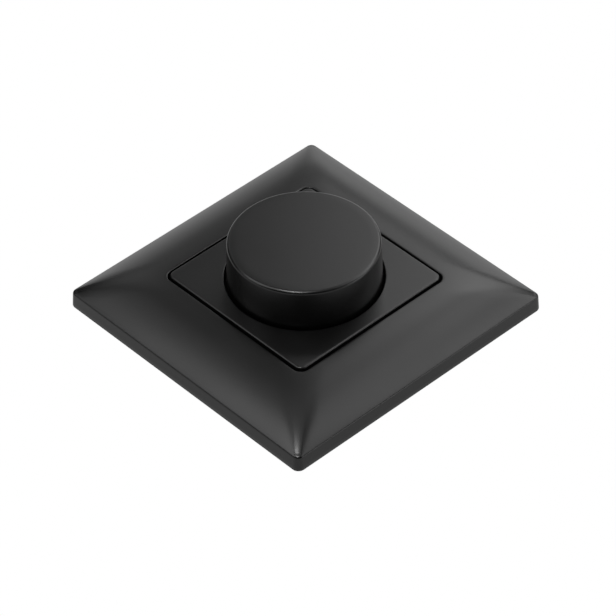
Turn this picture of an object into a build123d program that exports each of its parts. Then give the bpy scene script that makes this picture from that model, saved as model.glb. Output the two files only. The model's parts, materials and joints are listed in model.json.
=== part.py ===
"""Flush-mounted rotary dimmer with a push switch, in millimetres.

The wall plane is z = 0 and +Z points out of the wall, along the knob's axis.
The origin is where that axis meets the wall plane.
"""

import os
from math import cos, radians, sin, sqrt, tan

from build123d import *

os.makedirs("parts", exist_ok=True)

# Cover frame
frame_width = 86.0
frame_corner = 2.0
frame_inner_corner = 1.2
frame_draft = 4.0
frame_shoulder_z = 4.25
frame_crest_z = 10.3
frame_wall = 1.9
opening_width = 51.1
opening_corner = 2.6
collar_wall = 1.6
ledge_width = 47.0
ledge_top_z = 7.05
ledge_bottom_z = 5.55
frame_rib_thickness = 1.2
frame_rib_bottom_z = 2.9

# Centre plate
plate_width = 49.7
plate_corner = 1.9
plate_top_z = 10.62
plate_wall = 1.5
plate_edge_chamfer = 0.3
recess_radius = 20.6
recess_floor_z = 8.0
bushing_hole_radius = 5.15

# Rotary knob
knob_radius = 20.0
knob_foot_clearance = 0.46
knob_top_z = 22.4
knob_edge_bevel = 0.5
knob_wall = 2.2
knob_hub_radius = 5.0
knob_hub_bottom_z = 13.1
knob_bore_top_z = 19.9
knob_rib_count = 6
knob_rib_thickness = 1.2
knob_rib_bottom_z = 15.0
push_travel = 1.0

# Control shaft and the flat that drives the knob
shaft_radius = 3.0
shaft_clearance = 0.05
shaft_top_z = 19.5
shaft_bottom_z = -7.9
shaft_flat_depth = 1.5
shaft_flat_bottom_z = 12.5
drive_flat_offset = 2.2
drive_flat_top_z = -1.2
clip_thickness = 0.4
clip_gap = 0.03
clip_width = 4.0
clip_bottom_z = 14.0
clip_top_z = 19.0
collar_radius = 4.4
collar_bottom_z = -7.3
collar_thickness = 0.6

# Threaded bushing and the two nuts on it
bushing_radius = 4.95
bushing_top_z = 11.8
bushing_flange_width = 14.0
bushing_flange_thickness = 1.0
nut_bore_radius = 5.0
nut_flats = 14.0
pot_nut_height = 2.0
plate_nut_height = 2.3

# Support plate
support_width = 71.0
support_corner_chamfer = 3.0
support_thickness = 1.2
support_hole_radius = 5.1
box_screw_spacing = 60.0
box_slot_width = 4.0
box_slot_length = 8.0
fuse_window_length = 23.0
fuse_window_width = 7.0

# Rear housing
housing_width = 46.0
housing_corner = 4.0
housing_rear_z = -23.5
housing_wall = 1.6
housing_floor = 2.0
housing_rear_chamfer = 1.0
boss_offset = 18.8
boss_width = 5.2
boss_hole_radius = 1.15
boss_hole_depth = 12.0
entry_radius = 1.8
entry_y = -16.4
terminal_pitch = 10.5
screw_access_radius = 2.6
terminal_z = -17.2
barrier_thickness = 1.0
barrier_depth = 8.6
barrier_top_z = -11.0

# Screws
housing_screw_radius = 1.1
housing_screw_head_radius = 2.2
housing_screw_head_height = 1.5
housing_screw_length = 10.0
screw_hole_radius = 1.5

# Circuit board
board_width = 41.0
board_top_z = -7.5
board_thickness = 1.6
board_hole_width = 12.0
board_notch = 5.0

# Potentiometer
pot_width = 20.0
pot_cavity_width = 17.6
pot_ceiling_z = -1.8
pot_cover_thickness = 1.0
pot_cover_gap = 0.05
pot_cover_hole_width = 10.4
pot_throat_radius = 3.3
track_inner_radius = 5.6
track_outer_radius = 8.4
track_thickness = 0.5
track_gap_angle = 50.0
rotor_radius = 7.6
rotor_top_z = -2.4
rotor_bottom_z = -4.6
wiper_thickness = 0.3
finger_width = 1.2
finger_inner_y = 3.9
finger_outer_y = 7.4
wiper_gap = 0.05
lug_width = 1.5
lug_length = 2.0
lug_thickness = 0.5
lug_pitch = 3.2

# Push switch
switch_width = 13.0
switch_bottom_z = -17.0
switch_cavity_width = 9.0
switch_cavity_floor_z = -15.8
switch_cavity_top_z = -10.9
plunger_width = 5.0
plunger_clearance = 0.1
plunger_top_z = -8.0
slider_flange_width = 7.9
slider_flange_top_z = -11.0
slider_flange_thickness = 1.5
spigot_width = 2.6
spigot_length = 1.2
bridge_depth = 3.0
bridge_thickness = 0.3
bridge_hole_width = 5.2
contact_thickness = 0.4
contact_bottom_z = -15.5
spring_radius = 2.2
spring_wire_radius = 0.25
spring_turns = 2.0

# Triac and its cooling tab
triac_width = 10.0
triac_length = 9.0
tab_length = 6.3
tab_thickness = 1.3
triac_height = 4.5
triac_x = -2.0
triac_y = 15.8
pad_thickness = 0.2
pad_margin = 1.0
lead_pitch = 2.54
lead_width = 0.8
lead_thickness = 0.5
lead_reach = 2.2
lead_z = -3.6
leaf_thickness = 0.4
leaf_width = 6.0
leaf_half_length = 4.5
leaf_foot_length = 1.5
leaf_top_half_length = 2.0
leaf_bend_shift = 0.2

# Fuse
fuse_y = -15.8
fuse_z = -4.35
fuse_length = 20.0
fuse_cap_radius = 2.6
fuse_cap_length = 5.5
fuse_glass_radius = 2.35
fuse_glass_bore = 1.85
fuse_clip_wall = 0.4
fuse_clip_length = 4.5
fuse_clip_x = 7.4
fuse_clip_rise = 1.5

# Choke
choke_x = 14.0
choke_y = 1.5
choke_core_width = 4.6
choke_core_length = 16.0
choke_winding_width = 9.0
choke_winding_length = 12.0
winding_gap = 0.04

# Capacitors, resistors and trigger diode below the board
x_capacitor_length = 13.0
x_capacitor_width = 11.0
x_capacitor_height = 10.5
x_capacitor_x = -15.0
timing_capacitor_length = 7.2
timing_capacitor_width = 2.6
timing_capacitor_height = 6.5
timing_capacitor_y = 10.2
resistor_length = 6.3
resistor_radius = 1.15
resistor_rows = (14.2, 17.6)
resistor_x = -4.0
axial_z = -10.6
axial_lead_width = 0.6
axial_lead_reach = 1.6
diac_length = 4.0
diac_radius = 1.0
diac_x = 9.0

# Terminals
cage_width = 7.0
cage_back_y = -13.0
cage_front_y = -21.2
cage_bottom_z = -21.2
cage_top_z = -13.2
cage_slot_width = 5.0
cage_slot_front_y = -19.6
cage_slot_back_y = -14.2
clamp_width = 4.6
clamp_thickness = 0.8
clamp_height = 5.6
terminal_screw_radius = 1.6
terminal_screw_head_radius = 2.3
terminal_screw_head_top_y = -22.8
terminal_screw_head_bottom_y = -21.3
terminal_leg_width = 2.0
terminal_leg_thickness = 0.8

# Values that follow from the ones above
half_opening = opening_width / 2
crest_half = half_opening - opening_corner / 3
shoulder_half = frame_width / 2 - frame_shoulder_z * tan(radians(frame_draft))
crown_run = shoulder_half - crest_half
crown_rise = frame_crest_z - frame_shoulder_z
crown_radius = (crown_run**2 + crown_rise**2) / (2 * crown_rise)
crown_centre_z = frame_crest_z - crown_radius
housing_inner_width = housing_width - 2 * housing_wall
housing_floor_z = housing_rear_z + housing_floor
board_bottom_z = board_top_z - board_thickness
knob_ceiling_z = knob_top_z - knob_wall
knob_inner_radius = knob_radius - knob_wall
knob_foot_z = recess_floor_z + push_travel + knob_foot_clearance
knob_flat_y = shaft_flat_depth + clip_thickness + 2 * clip_gap
terminal_xs = (-terminal_pitch, 0.0, terminal_pitch)
screw_spots = ((boss_offset, boss_offset), (-boss_offset, -boss_offset))
post_spots = ((boss_offset, -boss_offset), (-boss_offset, boss_offset))


def write_piece(piece, label):
    """Label a finished piece and write it to its own file."""
    piece.part.label = label
    export_step(piece.part, f"parts/{label}.step")


def rounded_square(width, corner, level):
    """A square outline with rounded corners, lying at a height above the wall."""
    with BuildSketch(Plane.XY.offset(level)) as outline:
        RectangleRounded(width, width, corner)
    return outline.sketch


def crown_level(offset, half):
    """Height of the crown, moved inwards by an offset, where the frame is that wide."""
    return crown_centre_z + sqrt((crown_radius - offset) ** 2 - (half - crest_half) ** 2)


def crown_barrel(plane, offset):
    """The crown's profile, moved inwards by an offset, run straight past the frame."""
    half = frame_width / 2 + frame_wall
    halfway = (half + crest_half) / 2
    foot = crown_level(offset, half)
    crest = frame_crest_z - offset
    bottom = -frame_crest_z
    with BuildPart() as barrel:
        with BuildSketch(plane):
            with BuildLine():
                Line((-half, bottom), (-half, foot))
                ThreePointArc(
                    (-half, foot),
                    (-halfway, crown_level(offset, halfway)),
                    (-crest_half, crest),
                )
                Line((-crest_half, crest), (crest_half, crest))
                ThreePointArc(
                    (crest_half, crest),
                    (halfway, crown_level(offset, halfway)),
                    (half, foot),
                )
                Polyline((half, foot), (half, bottom), (-half, bottom))
            make_face()
        extrude(amount=half, both=True)
    return barrel.part


def crown(offset, corner):
    """The frame's domed body, moved inwards by an offset, with its own corner radius."""
    with BuildPart() as dome:
        extrude(
            rounded_square(frame_width - 2 * offset, corner, 0.0),
            amount=frame_crest_z,
            taper=frame_draft,
        )
        add(crown_barrel(Plane.XZ, offset), mode=Mode.INTERSECT)
        add(crown_barrel(Plane.YZ, offset), mode=Mode.INTERSECT)
    return dome.part


# Cover frame: a thin crowned shell with an opening and an inner ledge for the plate.
# The crown is two crossed barrels, level at the opening and falling to the outer wall.
# Its four creases run out of the corners and fade as the barrels become level.
# Stiffening ribs run from the collar to the outer wall, two on each side
with BuildPart() as frame_ribs:
    for turn in range(4):
        with BuildSketch(Plane.XY.rotated((0, 0, 90 * turn)).offset(frame_rib_bottom_z)):
            with Locations((0.0, -half_opening / 2), (0.0, half_opening / 2)):
                Rectangle(frame_width / 2, frame_rib_thickness, align=(Align.MIN, Align.CENTER))
        extrude(amount=ledge_top_z - frame_rib_bottom_z)
    add(crown(frame_wall / 2, frame_inner_corner), mode=Mode.INTERSECT)

with BuildPart() as cover_frame:
    add(crown(0.0, frame_corner))
    add(crown(frame_wall, frame_inner_corner), mode=Mode.SUBTRACT)
    add(frame_ribs.part)
    collar_width = opening_width + 2 * collar_wall
    collar_corner = opening_corner + collar_wall
    collar_top_z = frame_crest_z - frame_wall / 2
    extrude(
        rounded_square(collar_width, collar_corner, ledge_bottom_z),
        amount=collar_top_z - ledge_bottom_z,
    )
    extrude(
        rounded_square(ledge_width, opening_corner, 0.0),
        amount=frame_crest_z + 1,
        mode=Mode.SUBTRACT,
    )
    extrude(
        rounded_square(opening_width, opening_corner, ledge_top_z),
        amount=frame_crest_z - ledge_top_z + 1,
        mode=Mode.SUBTRACT,
    )
write_piece(cover_frame, "cover_frame")

# Centre plate: a square cap with a round recess that takes the knob's foot
with BuildPart() as centre_plate:
    extrude(
        rounded_square(plate_width, plate_corner, ledge_top_z),
        amount=plate_top_z - ledge_top_z,
    )
    chamfer(centre_plate.faces().sort_by(Axis.Z)[-1].edges(), plate_edge_chamfer)
    extrude(
        rounded_square(plate_width - 2 * plate_wall, plate_corner - plate_wall, ledge_top_z),
        amount=plate_top_z - plate_wall - ledge_top_z,
        mode=Mode.SUBTRACT,
    )
    with BuildSketch(Plane.XY.offset(recess_floor_z - plate_wall)):
        Circle(recess_radius + plate_wall)
    extrude(amount=plate_top_z - plate_wall / 2 - (recess_floor_z - plate_wall))
    with BuildSketch(Plane.XY.offset(recess_floor_z)):
        Circle(recess_radius)
    extrude(amount=plate_top_z - recess_floor_z, mode=Mode.SUBTRACT)
    with BuildSketch(Plane.XY.offset(recess_floor_z)):
        Circle(bushing_hole_radius)
    extrude(amount=-2 * plate_wall, mode=Mode.SUBTRACT)
write_piece(centre_plate, "centre_plate")

# Rotary knob: a flat-topped cap with a hub, ribs and a bore with one flat
with BuildPart() as rotary_knob:
    with BuildSketch(Plane.XZ):
        with BuildLine():
            Polyline(
                (0.0, knob_top_z),
                (knob_radius - knob_edge_bevel, knob_top_z),
                (knob_radius, knob_top_z - knob_edge_bevel),
                (knob_radius, knob_foot_z),
                (knob_inner_radius, knob_foot_z),
                (knob_inner_radius, knob_ceiling_z),
                (0.0, knob_ceiling_z),
                close=True,
            )
        make_face()
    revolve(axis=Axis.Z)
    with BuildSketch(Plane.XY.offset(knob_hub_bottom_z)):
        Circle(knob_hub_radius)
    extrude(amount=knob_ceiling_z - knob_hub_bottom_z)
    with BuildSketch(Plane.XY.offset(knob_rib_bottom_z)):
        with PolarLocations(0.0, knob_rib_count):
            Rectangle(
                knob_inner_radius + knob_wall / 2,
                knob_rib_thickness,
                align=(Align.MIN, Align.CENTER),
            )
    extrude(amount=knob_ceiling_z - knob_rib_bottom_z)
    with BuildSketch(Plane.XY.offset(knob_hub_bottom_z)):
        Circle(shaft_radius + shaft_clearance)
        with Locations((0.0, knob_flat_y)):
            Rectangle(
                2 * knob_hub_radius,
                knob_hub_radius,
                align=(Align.CENTER, Align.MIN),
                mode=Mode.SUBTRACT,
            )
    extrude(amount=knob_bore_top_z - knob_hub_bottom_z, mode=Mode.SUBTRACT)
write_piece(rotary_knob, "rotary_knob")

# Spring clip between the knob's bore and the flat of the shaft
with BuildPart() as knob_spring_clip:
    with BuildSketch(Plane.XY.offset(clip_bottom_z)):
        with Locations((0.0, shaft_flat_depth + clip_gap)):
            Rectangle(clip_width, clip_thickness, align=(Align.CENTER, Align.MIN))
    extrude(amount=clip_top_z - clip_bottom_z)
write_piece(knob_spring_clip, "knob_spring_clip")

# Control shaft: turns in the bushing, slides down to work the switch, and has a collar
# that keeps it from pulling out through the wiper rotor
with BuildPart() as control_shaft:
    with BuildSketch(Plane.XY.offset(shaft_bottom_z)):
        Circle(shaft_radius)
    extrude(amount=shaft_top_z - shaft_bottom_z)
    with BuildSketch(Plane.XY.offset(shaft_flat_bottom_z)):
        with Locations((0.0, shaft_flat_depth)):
            Rectangle(2 * shaft_radius, shaft_radius, align=(Align.CENTER, Align.MIN))
    extrude(amount=shaft_top_z - shaft_flat_bottom_z, mode=Mode.SUBTRACT)
    with BuildSketch(Plane.XY.offset(shaft_bottom_z)):
        with Locations((0.0, drive_flat_offset)):
            Rectangle(2 * shaft_radius, shaft_radius, align=(Align.CENTER, Align.MIN))
    extrude(amount=drive_flat_top_z - shaft_bottom_z, mode=Mode.SUBTRACT)
    with BuildSketch(Plane.XY.offset(collar_bottom_z)):
        Circle(collar_radius)
    extrude(amount=collar_thickness)
write_piece(control_shaft, "control_shaft")


def hex_nut(bottom_z, height, flats, bore_radius):
    """A hexagon nut lying flat."""
    with BuildPart() as nut:
        with BuildSketch(Plane.XY.offset(bottom_z)):
            RegularPolygon(flats / 2 / cos(radians(30)), 6)
            Circle(bore_radius, mode=Mode.SUBTRACT)
        extrude(amount=height)
    return nut


# Nut that clamps the potentiometer to the support plate
pot_nut = hex_nut(support_thickness, pot_nut_height, nut_flats, nut_bore_radius)
write_piece(pot_nut, "pot_nut")

# Nut that clamps the centre plate, and the cover frame under it
plate_nut = hex_nut(recess_floor_z, plate_nut_height, nut_flats, nut_bore_radius)
write_piece(plate_nut, "plate_nut")

# Support plate: steel, carries the mechanism and cools the triac
with BuildPart() as support_plate:
    with BuildSketch() as sheet:
        Rectangle(support_width, support_width)
        chamfer(sheet.vertices(), support_corner_chamfer)
        Circle(support_hole_radius, mode=Mode.SUBTRACT)
        with GridLocations(box_screw_spacing, 0.0, 2, 1):
            SlotOverall(box_slot_length, box_slot_width, mode=Mode.SUBTRACT)
        with GridLocations(0.0, box_screw_spacing, 1, 2):
            SlotOverall(box_slot_length, box_slot_width, rotation=90, mode=Mode.SUBTRACT)
        with Locations(*screw_spots):
            Circle(screw_hole_radius, mode=Mode.SUBTRACT)
        with Locations((0.0, fuse_y)):
            Rectangle(fuse_window_length, fuse_window_width, mode=Mode.SUBTRACT)
    extrude(amount=support_thickness)
write_piece(support_plate, "support_plate")

# Rear housing: a moulded tub with two screw bosses, two posts that carry the board,
# barriers between the terminals, wire entries and screwdriver holes
with BuildPart() as rear_housing:
    extrude(rounded_square(housing_width, housing_corner, housing_rear_z), amount=-housing_rear_z)
    chamfer(rear_housing.faces().sort_by(Axis.Z)[0].edges(), housing_rear_chamfer)
    extrude(
        rounded_square(housing_inner_width, housing_corner - housing_wall, housing_floor_z),
        amount=-housing_floor_z,
        mode=Mode.SUBTRACT,
    )
    with BuildSketch(Plane.XY.offset(housing_floor_z)):
        with Locations(*post_spots):
            Rectangle(boss_width, boss_width)
    extrude(amount=board_bottom_z - housing_floor_z)
    with BuildSketch(Plane.XY.offset(housing_floor_z)):
        with Locations(*screw_spots):
            Rectangle(boss_width, boss_width)
    extrude(amount=-housing_floor_z)
    with BuildSketch():
        with Locations(*screw_spots):
            Circle(boss_hole_radius)
    extrude(amount=-boss_hole_depth, mode=Mode.SUBTRACT)
    with BuildSketch(Plane.XY.offset(housing_floor_z)):
        with Locations(
            (-terminal_pitch / 2, -housing_inner_width / 2),
            (terminal_pitch / 2, -housing_inner_width / 2),
        ):
            Rectangle(barrier_thickness, barrier_depth, align=(Align.CENTER, Align.MIN))
    extrude(amount=barrier_top_z - housing_floor_z)
    with BuildSketch(Plane.XY.offset(housing_rear_z)):
        with Locations(*[(x, entry_y) for x in terminal_xs]):
            Circle(entry_radius)
    extrude(amount=housing_floor, mode=Mode.SUBTRACT)
    access_plane = Plane(origin=(0, -housing_width / 2, terminal_z), x_dir=(1, 0, 0), z_dir=(0, -1, 0))
    with BuildSketch(access_plane):
        with Locations(*[(x, 0.0) for x in terminal_xs]):
            Circle(screw_access_radius)
    extrude(amount=-housing_wall, mode=Mode.SUBTRACT)
write_piece(rear_housing, "rear_housing")


def headed_screw(plane, head_radius, head_height, shank_radius, shank_length):
    """A cheese-head screw whose head stands on the plane and whose shank goes into it."""
    with BuildPart() as screw:
        with BuildSketch(plane):
            Circle(head_radius)
        extrude(amount=head_height)
        with BuildSketch(plane):
            Circle(shank_radius)
        extrude(amount=-shank_length)
    return screw.part


# Two screws that hold the support plate on the housing
with BuildPart() as housing_screws:
    for x, y in screw_spots:
        add(
            headed_screw(
                Plane(origin=(x, y, support_thickness)),
                housing_screw_head_radius,
                housing_screw_head_height,
                housing_screw_radius,
                housing_screw_length,
            )
        )
write_piece(housing_screws, "housing_screws")

# Circuit board, cut away at the two screw bosses and under the shaft
with BuildPart() as circuit_board:
    with BuildSketch(Plane.XY.offset(board_bottom_z)):
        Rectangle(board_width, board_width)
        Rectangle(board_hole_width, board_hole_width, mode=Mode.SUBTRACT)
        notch_offset = (board_width - board_notch) / 2
        with Locations((notch_offset, notch_offset), (-notch_offset, -notch_offset)):
            Rectangle(board_notch, board_notch, mode=Mode.SUBTRACT)
    extrude(amount=board_thickness)
write_piece(circuit_board, "circuit_board")

# Potentiometer bushing: threaded outside, bored for the shaft, with a square flange
with BuildPart() as pot_bushing:
    with BuildSketch(Plane.XY.offset(-bushing_flange_thickness)):
        Rectangle(bushing_flange_width, bushing_flange_width)
    extrude(amount=bushing_flange_thickness)
    with BuildSketch():
        Circle(bushing_radius)
    extrude(amount=bushing_top_z)
    with BuildSketch(Plane.XY.offset(-bushing_flange_thickness)):
        Circle(shaft_radius + shaft_clearance)
    extrude(amount=bushing_flange_thickness + bushing_top_z, mode=Mode.SUBTRACT)
write_piece(pot_bushing, "pot_bushing")

# Potentiometer housing: a square box that opens to the rear
with BuildPart() as pot_housing:
    with BuildSketch(Plane.XY.offset(board_top_z)):
        Rectangle(pot_width, pot_width)
    extrude(amount=-board_top_z)
    with BuildSketch(Plane.XY.offset(board_top_z)):
        Rectangle(pot_cavity_width, pot_cavity_width)
    extrude(amount=pot_ceiling_z - board_top_z, mode=Mode.SUBTRACT)
    with BuildSketch(Plane.XY.offset(pot_ceiling_z)):
        Circle(pot_throat_radius)
    extrude(amount=-pot_ceiling_z, mode=Mode.SUBTRACT)
    with BuildSketch(Plane.XY.offset(-bushing_flange_thickness)):
        Rectangle(bushing_flange_width + 2 * pot_cover_gap, bushing_flange_width + 2 * pot_cover_gap)
    extrude(amount=bushing_flange_thickness, mode=Mode.SUBTRACT)
write_piece(pot_housing, "pot_housing")

# Rear cover of the potentiometer
with BuildPart() as pot_cover:
    with BuildSketch(Plane.XY.offset(board_top_z)):
        Rectangle(pot_cavity_width - 2 * pot_cover_gap, pot_cavity_width - 2 * pot_cover_gap)
        Rectangle(pot_cover_hole_width, pot_cover_hole_width, mode=Mode.SUBTRACT)
    extrude(amount=pot_cover_thickness)
write_piece(pot_cover, "pot_cover")

# Resistive track: an open ring on the cover
track_bottom_z = board_top_z + pot_cover_thickness
with BuildPart() as resistive_track:
    with BuildSketch(Plane.XY.offset(track_bottom_z)):
        Circle(track_outer_radius)
        Circle(track_inner_radius, mode=Mode.SUBTRACT)
        gap_half_width = track_outer_radius * sin(radians(track_gap_angle / 2))
        with Locations((0.0, -track_outer_radius)):
            Rectangle(2 * gap_half_width, track_outer_radius, mode=Mode.SUBTRACT)
    extrude(amount=track_thickness)
write_piece(resistive_track, "resistive_track")

# Solder lugs of the potentiometer
with BuildPart() as pot_lugs:
    with BuildSketch(Plane.XY.offset(board_top_z)):
        with Locations(*[(x, -pot_width / 2) for x in (-lug_pitch, 0.0, lug_pitch)]):
            Rectangle(lug_width, lug_length, align=(Align.CENTER, Align.MAX))
    extrude(amount=lug_thickness)
write_piece(pot_lugs, "pot_lugs")

# Wiper rotor: keyed to the shaft by a flat, so that the shaft can slide in it
with BuildPart() as wiper_rotor:
    with BuildSketch(Plane.XY.offset(rotor_bottom_z)):
        Circle(rotor_radius)
        with BuildSketch(mode=Mode.PRIVATE) as keyed_hole:
            Circle(shaft_radius + shaft_clearance)
            with Locations((0.0, drive_flat_offset + shaft_clearance)):
                Rectangle(
                    2 * knob_hub_radius,
                    knob_hub_radius,
                    align=(Align.CENTER, Align.MIN),
                    mode=Mode.SUBTRACT,
                )
        add(keyed_hole.sketch, mode=Mode.SUBTRACT)
    extrude(amount=rotor_top_z - rotor_bottom_z)
write_piece(wiper_rotor, "wiper_rotor")

# Wiper contact: a thin strip with two fingers that reach down to the track
with BuildPart() as wiper_contact:
    with BuildSketch(Plane.XY.offset(rotor_bottom_z - wiper_thickness)):
        with Locations((0.0, finger_inner_y)):
            Rectangle(
                3 * finger_width,
                finger_outer_y - finger_inner_y,
                align=(Align.CENTER, Align.MIN),
            )
    extrude(amount=wiper_thickness)
    finger_bottom_z = track_bottom_z + track_thickness + wiper_gap
    with BuildSketch(Plane.XY.offset(finger_bottom_z)):
        with Locations((-finger_width, finger_outer_y), (finger_width, finger_outer_y)):
            Rectangle(finger_width, finger_width, align=(Align.CENTER, Align.MAX))
    extrude(amount=rotor_bottom_z - finger_bottom_z)
write_piece(wiper_contact, "wiper_contact")

# Push switch body, below the board
with BuildPart() as switch_body:
    with BuildSketch(Plane.XY.offset(switch_bottom_z)):
        Rectangle(switch_width, switch_width)
    extrude(amount=board_bottom_z - switch_bottom_z)
    with BuildSketch(Plane.XY.offset(switch_cavity_floor_z)):
        Rectangle(switch_cavity_width, switch_cavity_width)
    extrude(amount=switch_cavity_top_z - switch_cavity_floor_z, mode=Mode.SUBTRACT)
    with BuildSketch(Plane.XY.offset(switch_cavity_top_z)):
        Rectangle(plunger_width + 2 * plunger_clearance, plunger_width + 2 * plunger_clearance)
    extrude(amount=board_bottom_z - switch_cavity_top_z, mode=Mode.SUBTRACT)
write_piece(switch_body, "switch_body")

# Switch slider: plunger, guide flange and a spigot for the spring
slider_flange_bottom_z = slider_flange_top_z - slider_flange_thickness
with BuildPart() as switch_slider:
    with BuildSketch(Plane.XY.offset(slider_flange_bottom_z)):
        Rectangle(slider_flange_width, slider_flange_width)
    extrude(amount=slider_flange_thickness)
    with BuildSketch(Plane.XY.offset(slider_flange_top_z)):
        Rectangle(plunger_width, plunger_width)
    extrude(amount=plunger_top_z - slider_flange_top_z)
    with BuildSketch(Plane.XY.offset(slider_flange_bottom_z)):
        Rectangle(spigot_width, spigot_width)
    extrude(amount=-spigot_length)
write_piece(switch_slider, "switch_slider")

# Contact bridge carried under the slider's flange
with BuildPart() as switch_bridge:
    with BuildSketch(Plane.XY.offset(slider_flange_bottom_z)):
        Rectangle(slider_flange_width, 2 * bridge_depth)
        Rectangle(bridge_hole_width, bridge_hole_width, mode=Mode.SUBTRACT)
    extrude(amount=-bridge_thickness)
write_piece(switch_bridge, "switch_bridge")

# Fixed contacts on the cavity's side walls
with BuildPart() as switch_contacts:
    with BuildSketch(Plane.XY.offset(contact_bottom_z)):
        with GridLocations(switch_cavity_width - contact_thickness, 0.0, 2, 1):
            Rectangle(contact_thickness, bridge_depth)
    extrude(amount=switch_cavity_top_z - contact_bottom_z)
write_piece(switch_contacts, "switch_contacts")

# Return spring under the slider
spring_height = slider_flange_bottom_z - switch_cavity_floor_z - 2 * spring_wire_radius
with BuildPart() as switch_spring:
    with BuildLine() as coil:
        Helix(
            pitch=spring_height / spring_turns,
            height=spring_height,
            radius=spring_radius,
            center=(0, 0, switch_cavity_floor_z + spring_wire_radius),
        )
    with BuildSketch(Plane(origin=coil.line @ 0, z_dir=coil.line % 0)):
        RegularPolygon(spring_wire_radius, 4)
    sweep(is_frenet=True)
write_piece(switch_spring, "switch_spring")

# Triac: plastic body under a metal tab, with three bent leads
tab_top_z = -pad_thickness
tab_bottom_z = tab_top_z - tab_thickness
triac_bottom_z = tab_top_z - triac_height
tab_start_x = triac_x - tab_length
triac_end_x = triac_x + triac_length

with BuildPart() as triac_body:
    with BuildSketch(Plane.XY.offset(triac_bottom_z)):
        with Locations((triac_x, triac_y)):
            Rectangle(triac_length, triac_width, align=(Align.MIN, Align.CENTER))
    extrude(amount=tab_bottom_z - triac_bottom_z)
write_piece(triac_body, "triac_body")

with BuildPart() as triac_tab:
    with BuildSketch(Plane.XY.offset(tab_bottom_z)):
        with Locations((tab_start_x, triac_y)):
            Rectangle(tab_length + triac_length, triac_width, align=(Align.MIN, Align.CENTER))
    extrude(amount=tab_thickness)
write_piece(triac_tab, "triac_tab")

with BuildPart() as triac_leads:
    lead_end_x = triac_end_x + lead_reach
    for row in (-1, 0, 1):
        lead_plane = Plane(
            origin=(0, triac_y + row * lead_pitch - lead_width / 2, 0),
            x_dir=(1, 0, 0),
            z_dir=(0, -1, 0),
        )
        with BuildSketch(lead_plane):
            with BuildLine():
                Polyline(
                    (triac_end_x, lead_z),
                    (lead_end_x, lead_z),
                    (lead_end_x, board_top_z),
                    (lead_end_x - lead_thickness, board_top_z),
                    (lead_end_x - lead_thickness, lead_z - lead_thickness),
                    (triac_end_x, lead_z - lead_thickness),
                    close=True,
                )
            make_face()
        extrude(amount=-lead_width)
write_piece(triac_leads, "triac_leads")

with BuildPart() as insulating_pad:
    with BuildSketch(Plane.XY.offset(tab_top_z)):
        with Locations((tab_start_x - pad_margin, triac_y)):
            Rectangle(
                tab_length + triac_length + 2 * pad_margin,
                triac_width,
                align=(Align.MIN, Align.CENTER),
            )
    extrude(amount=pad_thickness)
write_piece(insulating_pad, "insulating_pad")

# Leaf spring that stands on the board and presses the triac to the support plate
with BuildPart() as triac_spring:
    leaf_plane = Plane(
        origin=(triac_x + triac_length / 2, triac_y, board_top_z),
        x_dir=(1, 0, 0),
        z_dir=(0, -1, 0),
    )
    leaf_rise = triac_bottom_z - board_top_z
    foot_start = leaf_half_length - leaf_foot_length
    with BuildSketch(leaf_plane):
        with BuildLine():
            Polyline(
                (0.0, leaf_rise - leaf_thickness),
                (leaf_top_half_length - leaf_bend_shift, leaf_rise - leaf_thickness),
                (foot_start - leaf_bend_shift, 0.0),
                (leaf_half_length, 0.0),
                (leaf_half_length, leaf_thickness),
                (foot_start + leaf_bend_shift, leaf_thickness),
                (leaf_top_half_length + leaf_bend_shift, leaf_rise),
                (0.0, leaf_rise),
                close=True,
            )
        make_face()
        mirror(about=Plane.YZ)
    extrude(amount=leaf_width / 2, both=True)
write_piece(triac_spring, "triac_spring")

# Fuse: a glass tube between two metal caps, lying along X
fuse_plane = Plane(origin=(0, fuse_y, fuse_z), x_dir=(0, 1, 0), z_dir=(1, 0, 0))

with BuildPart() as fuse_glass:
    with BuildSketch(fuse_plane):
        Circle(fuse_glass_radius)
        Circle(fuse_glass_bore, mode=Mode.SUBTRACT)
    extrude(amount=fuse_length / 2 - fuse_cap_length, both=True)
write_piece(fuse_glass, "fuse_glass")

with BuildPart() as fuse_caps:
    for side in (-1, 1):
        with BuildSketch(fuse_plane.offset(side * fuse_length / 2)):
            Circle(fuse_cap_radius)
        extrude(amount=-side * fuse_cap_length)
write_piece(fuse_caps, "fuse_caps")

# Spring clips that hold the fuse on the board: two U-shaped strips
with BuildPart() as fuse_clips:
    clip_inner_width = 2 * (fuse_cap_radius + clip_gap)
    clip_outer_width = clip_inner_width + 2 * fuse_clip_wall
    clip_foot = board_top_z - fuse_z
    for side in (-1, 1):
        with BuildSketch(fuse_plane.offset(side * fuse_clip_x - fuse_clip_length / 2)):
            with Locations((0.0, clip_foot)):
                Rectangle(
                    clip_outer_width,
                    fuse_clip_rise - clip_foot,
                    align=(Align.CENTER, Align.MIN),
                )
            with Locations((0.0, clip_foot + fuse_clip_wall)):
                Rectangle(
                    clip_inner_width,
                    fuse_clip_rise - clip_foot,
                    align=(Align.CENTER, Align.MIN),
                    mode=Mode.SUBTRACT,
                )
        extrude(amount=fuse_clip_length)
write_piece(fuse_clips, "fuse_clips")

# Choke below the board: a square ferrite bar in a wound sleeve
choke_plane = Plane(
    origin=(choke_x, choke_y, board_bottom_z - choke_winding_width / 2),
    x_dir=(1, 0, 0),
    z_dir=(0, -1, 0),
)
with BuildPart() as choke_core:
    with BuildSketch(choke_plane):
        Rectangle(choke_core_width, choke_core_width)
    extrude(amount=choke_core_length / 2, both=True)
write_piece(choke_core, "choke_core")

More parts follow.
